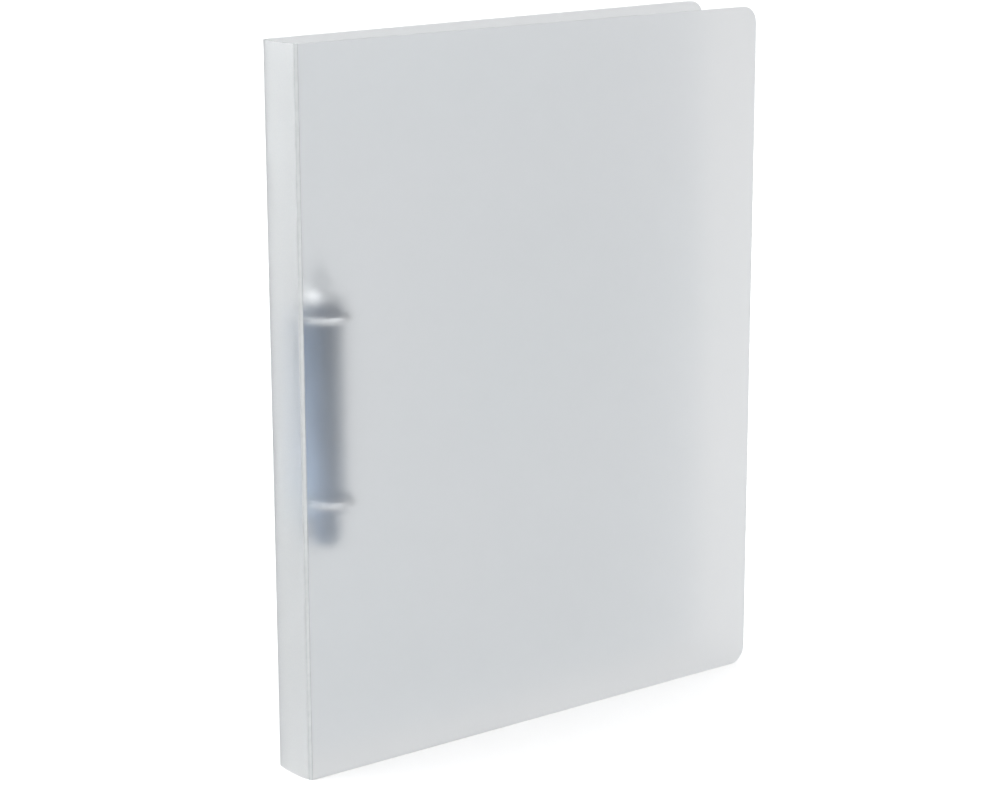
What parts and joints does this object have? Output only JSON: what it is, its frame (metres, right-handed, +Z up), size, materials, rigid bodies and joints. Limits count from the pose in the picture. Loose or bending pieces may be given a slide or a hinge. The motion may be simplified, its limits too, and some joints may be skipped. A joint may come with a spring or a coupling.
{
  "type": "ring binder",
  "caption": "Slim upright ring binder: frosted translucent covers creased to a bowed spine, with a riveted steel mechanism whose lever parts the two rings.",
  "frame": {"origin": "middle of the base, on the surface the binder stands on", "axes": "+X along the covers from the spine to the open edge, +Y from the front cover to the back cover, +Z up"},
  "size_m": [0.2514, 0.0366, 0.315],
  "materials": {
    "case_sheet": "frosted translucent polypropylene, satin covers",
    "spine_sheet": "frosted translucent polypropylene with a fine sand-blast grain",
    "plate_nickel": "bright nickel plate on pressed steel",
    "blade_steel": "nickel-plated spring steel",
    "ring_nickel": "polished nickel-plated wire",
    "rivet_nickel": "polished nickel-plated rivet"
  },
  "bodies": {
    "back": {"back_cover": "case_sheet", "top_plate": "plate_nickel", "rivets": "rivet_nickel"},
    "spine": {"spine": "spine_sheet", "front_hinge": "case_sheet", "back_hinge": "case_sheet"},
    "front": {"front_cover": "case_sheet"},
    "left_rings": {"left_blade": "blade_steel", "upper_ring_left": "ring_nickel", "lower_ring_left": "ring_nickel"},
    "right_rings": {"right_blade": "blade_steel", "upper_ring_right": "ring_nickel", "lower_ring_right": "ring_nickel"},
    "thumb_lever": {"lever": "plate_nickel"}
  },
  "joints": [
    {"name": "back_crease", "type": "hinge", "parent": "back", "child": "spine", "pos_m": [-0.12427, 0.0115, 0.1575], "axis": [0, 0, -1], "range_deg": [0, 178]},
    {"name": "front_crease", "type": "hinge", "parent": "spine", "child": "front", "pos_m": [-0.12427, -0.0115, 0.1575], "axis": [0, 0, -1], "range_deg": [0, 178]},
    {"name": "ring_opening", "type": "hinge", "parent": "back", "child": "left_rings", "pos_m": [-0.11161, 0.00927, 0.1575], "axis": [0, 0, -1], "range_deg": [0, 16]},
    {"name": "right_ring_opening", "type": "hinge", "parent": "back", "child": "right_rings", "pos_m": [-0.09181, 0.00977, 0.1575], "axis": [0, 0, 1], "range_deg": [0, 16]},
    {"name": "lever_press", "type": "hinge", "parent": "back", "child": "thumb_lever", "pos_m": [-0.10164, 0.00697, 0.1126], "axis": [0.9997, 0.0253, 0], "range_deg": [0, 16]}
  ],
  "couplings": [
    {"joint": "ring_opening", "follows": "lever_press", "ratio": 1},
    {"joint": "right_ring_opening", "follows": "lever_press", "ratio": 1}
  ]
}
